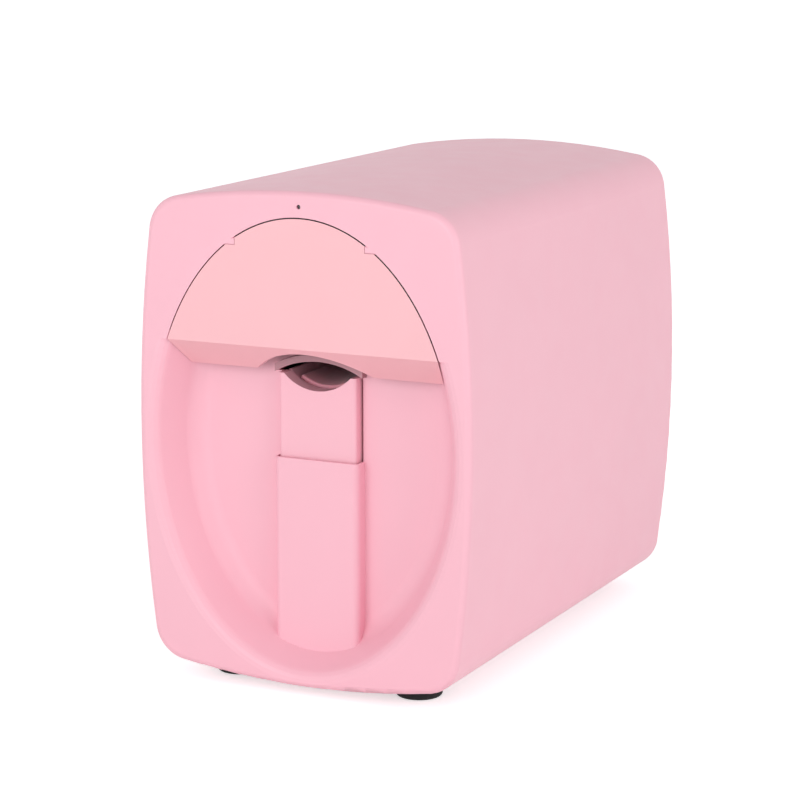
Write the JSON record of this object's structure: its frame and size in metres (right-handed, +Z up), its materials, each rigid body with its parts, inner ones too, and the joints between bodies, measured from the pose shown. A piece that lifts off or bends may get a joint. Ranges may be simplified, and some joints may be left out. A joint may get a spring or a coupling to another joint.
{
  "type": "nail art printer",
  "caption": "Table-top digital nail printer: barrel-shaped case with a scooped front, flip-up door, sprung finger rest and an X-Y carriage for the ink cartridge.",
  "frame": {"origin": "on the table under the middle of the body's bounding box", "axes": "+X to the right of someone who faces the front, +Y from the front to the back, +Z up"},
  "size_m": [0.162, 0.25, 0.224],
  "materials": {
    "shell_plastic": "satin moulded plastic, soft pink",
    "hood_plastic": "matte greyish pink moulded plastic",
    "pad_silicone": "soft matte silicone",
    "foot_rubber": "black rubber",
    "sheet_steel": "zinc-plated sheet steel",
    "rod_steel": "ground steel rod",
    "screw_steel": "zinc-plated steel",
    "beam_aluminium": "machined aluminium",
    "nut_brass": "turned brass",
    "motor_black": "black painted steel",
    "belt_rubber": "black rubber belt",
    "carriage_plastic": "dark moulded plastic",
    "cartridge_plastic": "glossy black plastic",
    "board_green": "green circuit board",
    "chip_black": "black moulded chip",
    "light_white": "white light strip",
    "lens_glass": "dark coated lens",
    "strip_clear": "clear film strip",
    "magnet_nickel": "nickel-plated magnet",
    "button_plastic": "glossy pink plastic"
  },
  "bodies": {
    "housing": {"main_housing": "shell_plastic", "rear_panel": "shell_plastic", "finger_hood": "hood_plastic", "capping_pad": "pad_silicone", "foot_front_left": "foot_rubber", "foot_front_right": "foot_rubber", "foot_rear_left": "foot_rubber", "foot_rear_right": "foot_rubber", "chassis_tray": "sheet_steel", "side_frame_left": "sheet_steel", "side_frame_right": "sheet_steel", "rear_bridge": "sheet_steel", "camera_bracket": "sheet_steel", "catch_plates": "sheet_steel", "hinge_pins": "rod_steel", "guide_rods": "rod_steel", "beam_rail_left": "rod_steel", "beam_rail_right": "rod_steel", "foot_screws": "screw_steel", "rear_panel_screws": "screw_steel", "frame_screws": "screw_steel", "rest_spring_left": "screw_steel", "rest_spring_right": "screw_steel", "screw_bearing": "beam_aluminium", "board_standoffs": "nut_brass", "beam_motor": "motor_black", "guide_bracket": "carriage_plastic", "cap_post": "carriage_plastic", "main_board": "board_green", "camera_board": "board_green", "status_light_board": "board_green", "board_chips": "chip_black", "power_jack": "chip_black", "power_switch": "chip_black", "status_light_pipe": "chip_black", "light_strips": "light_white", "camera_lens": "lens_glass", "usb_port": "magnet_nickel"},
    "door": {"front_door": "shell_plastic", "door_magnets": "magnet_nickel"},
    "rest": {"finger_rest": "shell_plastic", "finger_pad": "pad_silicone"},
    "gantry": {"cross_beam": "beam_aluminium", "rail_bushes": "nut_brass", "cross_rods": "rod_steel", "beam_nut": "nut_brass", "carriage_motor": "motor_black", "idler_pin": "rod_steel", "carriage_belt": "belt_rubber", "encoder_strip": "strip_clear"},
    "screw": {"lead_screw": "rod_steel"},
    "drive": {"drive_pulley": "beam_aluminium", "motor_shaft": "rod_steel"},
    "idler": {"idler_pulley": "beam_aluminium"},
    "carriage": {"print_carriage": "carriage_plastic", "carriage_bushes": "nut_brass", "ink_cartridge": "cartridge_plastic", "latch_pin": "rod_steel"},
    "latch": {"cartridge_latch": "carriage_plastic"},
    "button": {"power_button": "button_plastic"}
  },
  "joints": [
    {"name": "door_hinge", "type": "hinge", "parent": "housing", "child": "door", "pos_m": [0, -0.1234, 0.2008], "axis": [-1, 0, 0], "range_deg": [0, 78]},
    {"name": "rest_slide", "type": "slide", "parent": "housing", "child": "rest", "axis": [0, 0, 1], "range_m": [-0.015, 0], "stiffness_N_per_m": 150, "springref_m": 0.02, "deforming": ["rest_spring_left", "rest_spring_right"]},
    {"name": "gantry_slide", "type": "slide", "parent": "housing", "child": "gantry", "axis": [0, 1, 0], "range_m": [-0.004, 0.026]},
    {"name": "screw_spin", "type": "hinge", "parent": "housing", "child": "screw", "pos_m": [0.036, 0, 0.13], "axis": [0, 1, 0], "range_deg": [-1400, 400]},
    {"name": "carriage_slide", "type": "slide", "parent": "gantry", "child": "carriage", "axis": [1, 0, 0], "range_m": [-0.042, 0]},
    {"name": "drive_spin", "type": "hinge", "parent": "gantry", "child": "drive", "pos_m": [-0.036, -0.03, 0.18], "axis": [0, 1, 0], "range_deg": [-45, 405]},
    {"name": "idler_spin", "type": "hinge", "parent": "gantry", "child": "idler", "pos_m": [0.036, -0.03, 0.18], "axis": [0, 1, 0], "range_deg": [-45, 405]},
    {"name": "latch_hinge", "type": "hinge", "parent": "carriage", "child": "latch", "pos_m": [0.026, -0.0465, 0.2015], "axis": [-1, 0, 0], "range_deg": [0, 50]},
    {"name": "button_push", "type": "slide", "parent": "housing", "child": "button", "axis": [0, -1, 0], "range_m": [0, 0.0015], "stiffness_N_per_m": 600, "springref_m": -0.001}
  ],
  "couplings": [
    {"joint": "screw_spin", "follows": "gantry_slide", "rad_per_m": -785.4},
    {"joint": "drive_spin", "follows": "carriage_slide", "rad_per_m": -149.25},
    {"joint": "idler_spin", "follows": "carriage_slide", "rad_per_m": -149.25}
  ]
}
